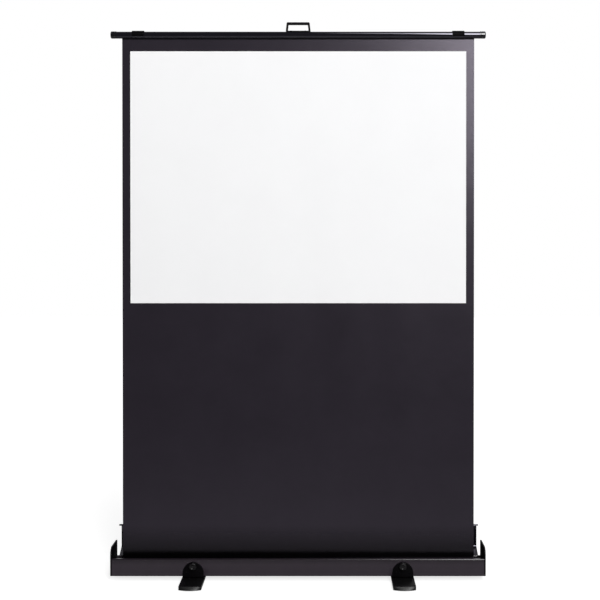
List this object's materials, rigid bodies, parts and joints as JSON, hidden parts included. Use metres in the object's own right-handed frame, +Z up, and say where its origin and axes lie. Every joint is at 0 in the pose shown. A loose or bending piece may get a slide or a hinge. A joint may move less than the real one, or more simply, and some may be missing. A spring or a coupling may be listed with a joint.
{
  "type": "pull-up projection screen",
  "caption": "Free-standing pull-up projection screen: a floor case with a sprung fabric roller, folding rear arms, a top bar with a handle, swivel feet and a hinged lid.",
  "frame": {"origin": "on the floor, under the middle of the case, on the line of the feet's swivel pins", "axes": "+X to the viewer's right along the case, -Y towards the viewer, +Z up"},
  "size_m": [1.355, 0.3476, 2.011],
  "materials": {
    "gloss_black": "black powder coat with a soft gloss",
    "satin_black_metal": "satin black coat",
    "black_steel": "satin black coat on bent sheet",
    "black_plastic": "satin moulded plastic",
    "bare_aluminium": "plain drawn tube",
    "zinc_steel": "zinc plate",
    "nylon": "natural nylon",
    "rubber": "matt rubber",
    "black_vinyl": "matt black coated cloth",
    "white_vinyl": "matt white projection surface"
  },
  "bodies": {
    "case": {"case_channel": "gloss_black", "end_cap_left": "black_plastic", "end_cap_right": "black_plastic", "roller_bracket_left": "zinc_steel", "roller_bracket_right": "zinc_steel", "roller_bush": "nylon", "spring_shaft": "zinc_steel", "roller_spring": "zinc_steel", "arm_base_left": "zinc_steel", "arm_base_right": "zinc_steel", "base_pin_left": "zinc_steel", "base_pin_right": "zinc_steel", "base_washer_left": "nylon", "base_washer_right": "nylon", "foot_saddle_left": "black_steel", "foot_saddle_right": "black_steel", "swivel_pin_left": "zinc_steel", "swivel_pin_right": "zinc_steel", "screen_sheet": "black_vinyl", "viewing_surface": "white_vinyl"},
    "lid": {"lid_shell": "gloss_black"},
    "roller": {"roller_tube": "bare_aluminium", "roller_plug_left": "black_plastic", "roller_plug_right": "black_plastic", "fabric_roll": "black_vinyl"},
    "left_lower_arm": {"lower_arm_left": "satin_black_metal", "knee_pin_left": "zinc_steel", "knee_washer_left": "nylon", "knee_stop_left": "zinc_steel"},
    "left_upper_arm": {"upper_arm_left": "satin_black_metal"},
    "top_bar": {"top_bar": "gloss_black", "bar_plug_left": "black_plastic", "bar_plug_right": "black_plastic", "bar_clamp_left": "black_steel", "bar_clamp_right": "black_steel", "top_pin_left": "zinc_steel", "top_pin_right": "zinc_steel", "top_washer_left": "nylon", "top_washer_right": "nylon", "hem_rod": "zinc_steel", "handle_frame": "black_plastic", "handle_grip": "black_plastic"},
    "right_lower_arm": {"lower_arm_right": "satin_black_metal", "knee_pin_right": "zinc_steel", "knee_washer_right": "nylon", "knee_stop_right": "zinc_steel"},
    "right_upper_arm": {"upper_arm_right": "satin_black_metal"},
    "left_foot": {"foot_left": "satin_black_metal", "foot_pad_left_front": "rubber", "foot_pad_left_rear": "rubber"},
    "right_foot": {"foot_right": "satin_black_metal", "foot_pad_right_front": "rubber", "foot_pad_right_rear": "rubber"},
    "left_knob": {"foot_knob_left": "black_plastic", "knob_stud_left": "zinc_steel"},
    "right_knob": {"foot_knob_right": "black_plastic", "knob_stud_right": "zinc_steel"}
  },
  "joints": [
    {"name": "left_arm_fold", "type": "hinge", "parent": "case", "child": "left_lower_arm", "pos_m": [-0.5785, 0.0087, 0.046], "axis": [0, 1, 0], "range_deg": [0, 90.3], "deforming": ["screen_sheet", "viewing_surface"]},
    {"name": "left_knee", "type": "hinge", "parent": "left_lower_arm", "child": "left_upper_arm", "pos_m": [-0.61143, 0.0157, 0.989], "axis": [0, 1, 0], "range_deg": [-180.6, 0]},
    {"name": "bar_level", "type": "hinge", "parent": "left_upper_arm", "child": "top_bar", "pos_m": [-0.5785, 0.0157, 1.932], "axis": [0, 1, 0], "range_deg": [0, 90.3]},
    {"name": "right_arm_fold", "type": "hinge", "parent": "case", "child": "right_lower_arm", "pos_m": [0.5785, 0.0317, 0.046], "axis": [0, 1, 0], "range_deg": [-90.3, 0]},
    {"name": "right_knee", "type": "hinge", "parent": "right_lower_arm", "child": "right_upper_arm", "pos_m": [0.61143, 0.0247, 0.989], "axis": [0, 1, 0], "range_deg": [0, 180.6]},
    {"name": "roller_spin", "type": "hinge", "parent": "case", "child": "roller", "pos_m": [0, -0.0245, 0.0465], "axis": [1, 0, 0], "range_deg": [-4630, 0]},
    {"name": "lid_hinge", "type": "hinge", "parent": "case", "child": "lid", "pos_m": [0, 0.0565, 0.06], "axis": [1, 0, 0], "range_deg": [0, 8]},
    {"name": "left_foot_swivel", "type": "hinge", "parent": "case", "child": "left_foot", "pos_m": [-0.3755, 0, 0.0144], "axis": [0, 0, 1], "range_deg": [0, 90]},
    {"name": "right_foot_swivel", "type": "hinge", "parent": "case", "child": "right_foot", "pos_m": [0.3755, 0, 0.0144], "axis": [0, 0, 1], "range_deg": [-90, 0]},
    {"name": "left_knob_turn", "type": "hinge", "parent": "case", "child": "left_knob", "pos_m": [-0.3755, -0.0616, 0.057], "axis": [0, -1, 0], "range_deg": [0, 90]},
    {"name": "right_knob_turn", "type": "hinge", "parent": "case", "child": "right_knob", "pos_m": [0.3755, -0.0616, 0.057], "axis": [0, -1, 0], "range_deg": [0, 90]}
  ],
  "couplings": [
    {"joint": "left_knee", "follows": "left_arm_fold", "ratio": -2},
    {"joint": "bar_level", "follows": "left_arm_fold", "ratio": 1},
    {"joint": "right_arm_fold", "follows": "left_arm_fold", "ratio": -1},
    {"joint": "right_knee", "follows": "left_arm_fold", "ratio": 2},
    {"joint": "roller_spin", "follows": "left_arm_fold", "ratio": -51.2}
  ]
}
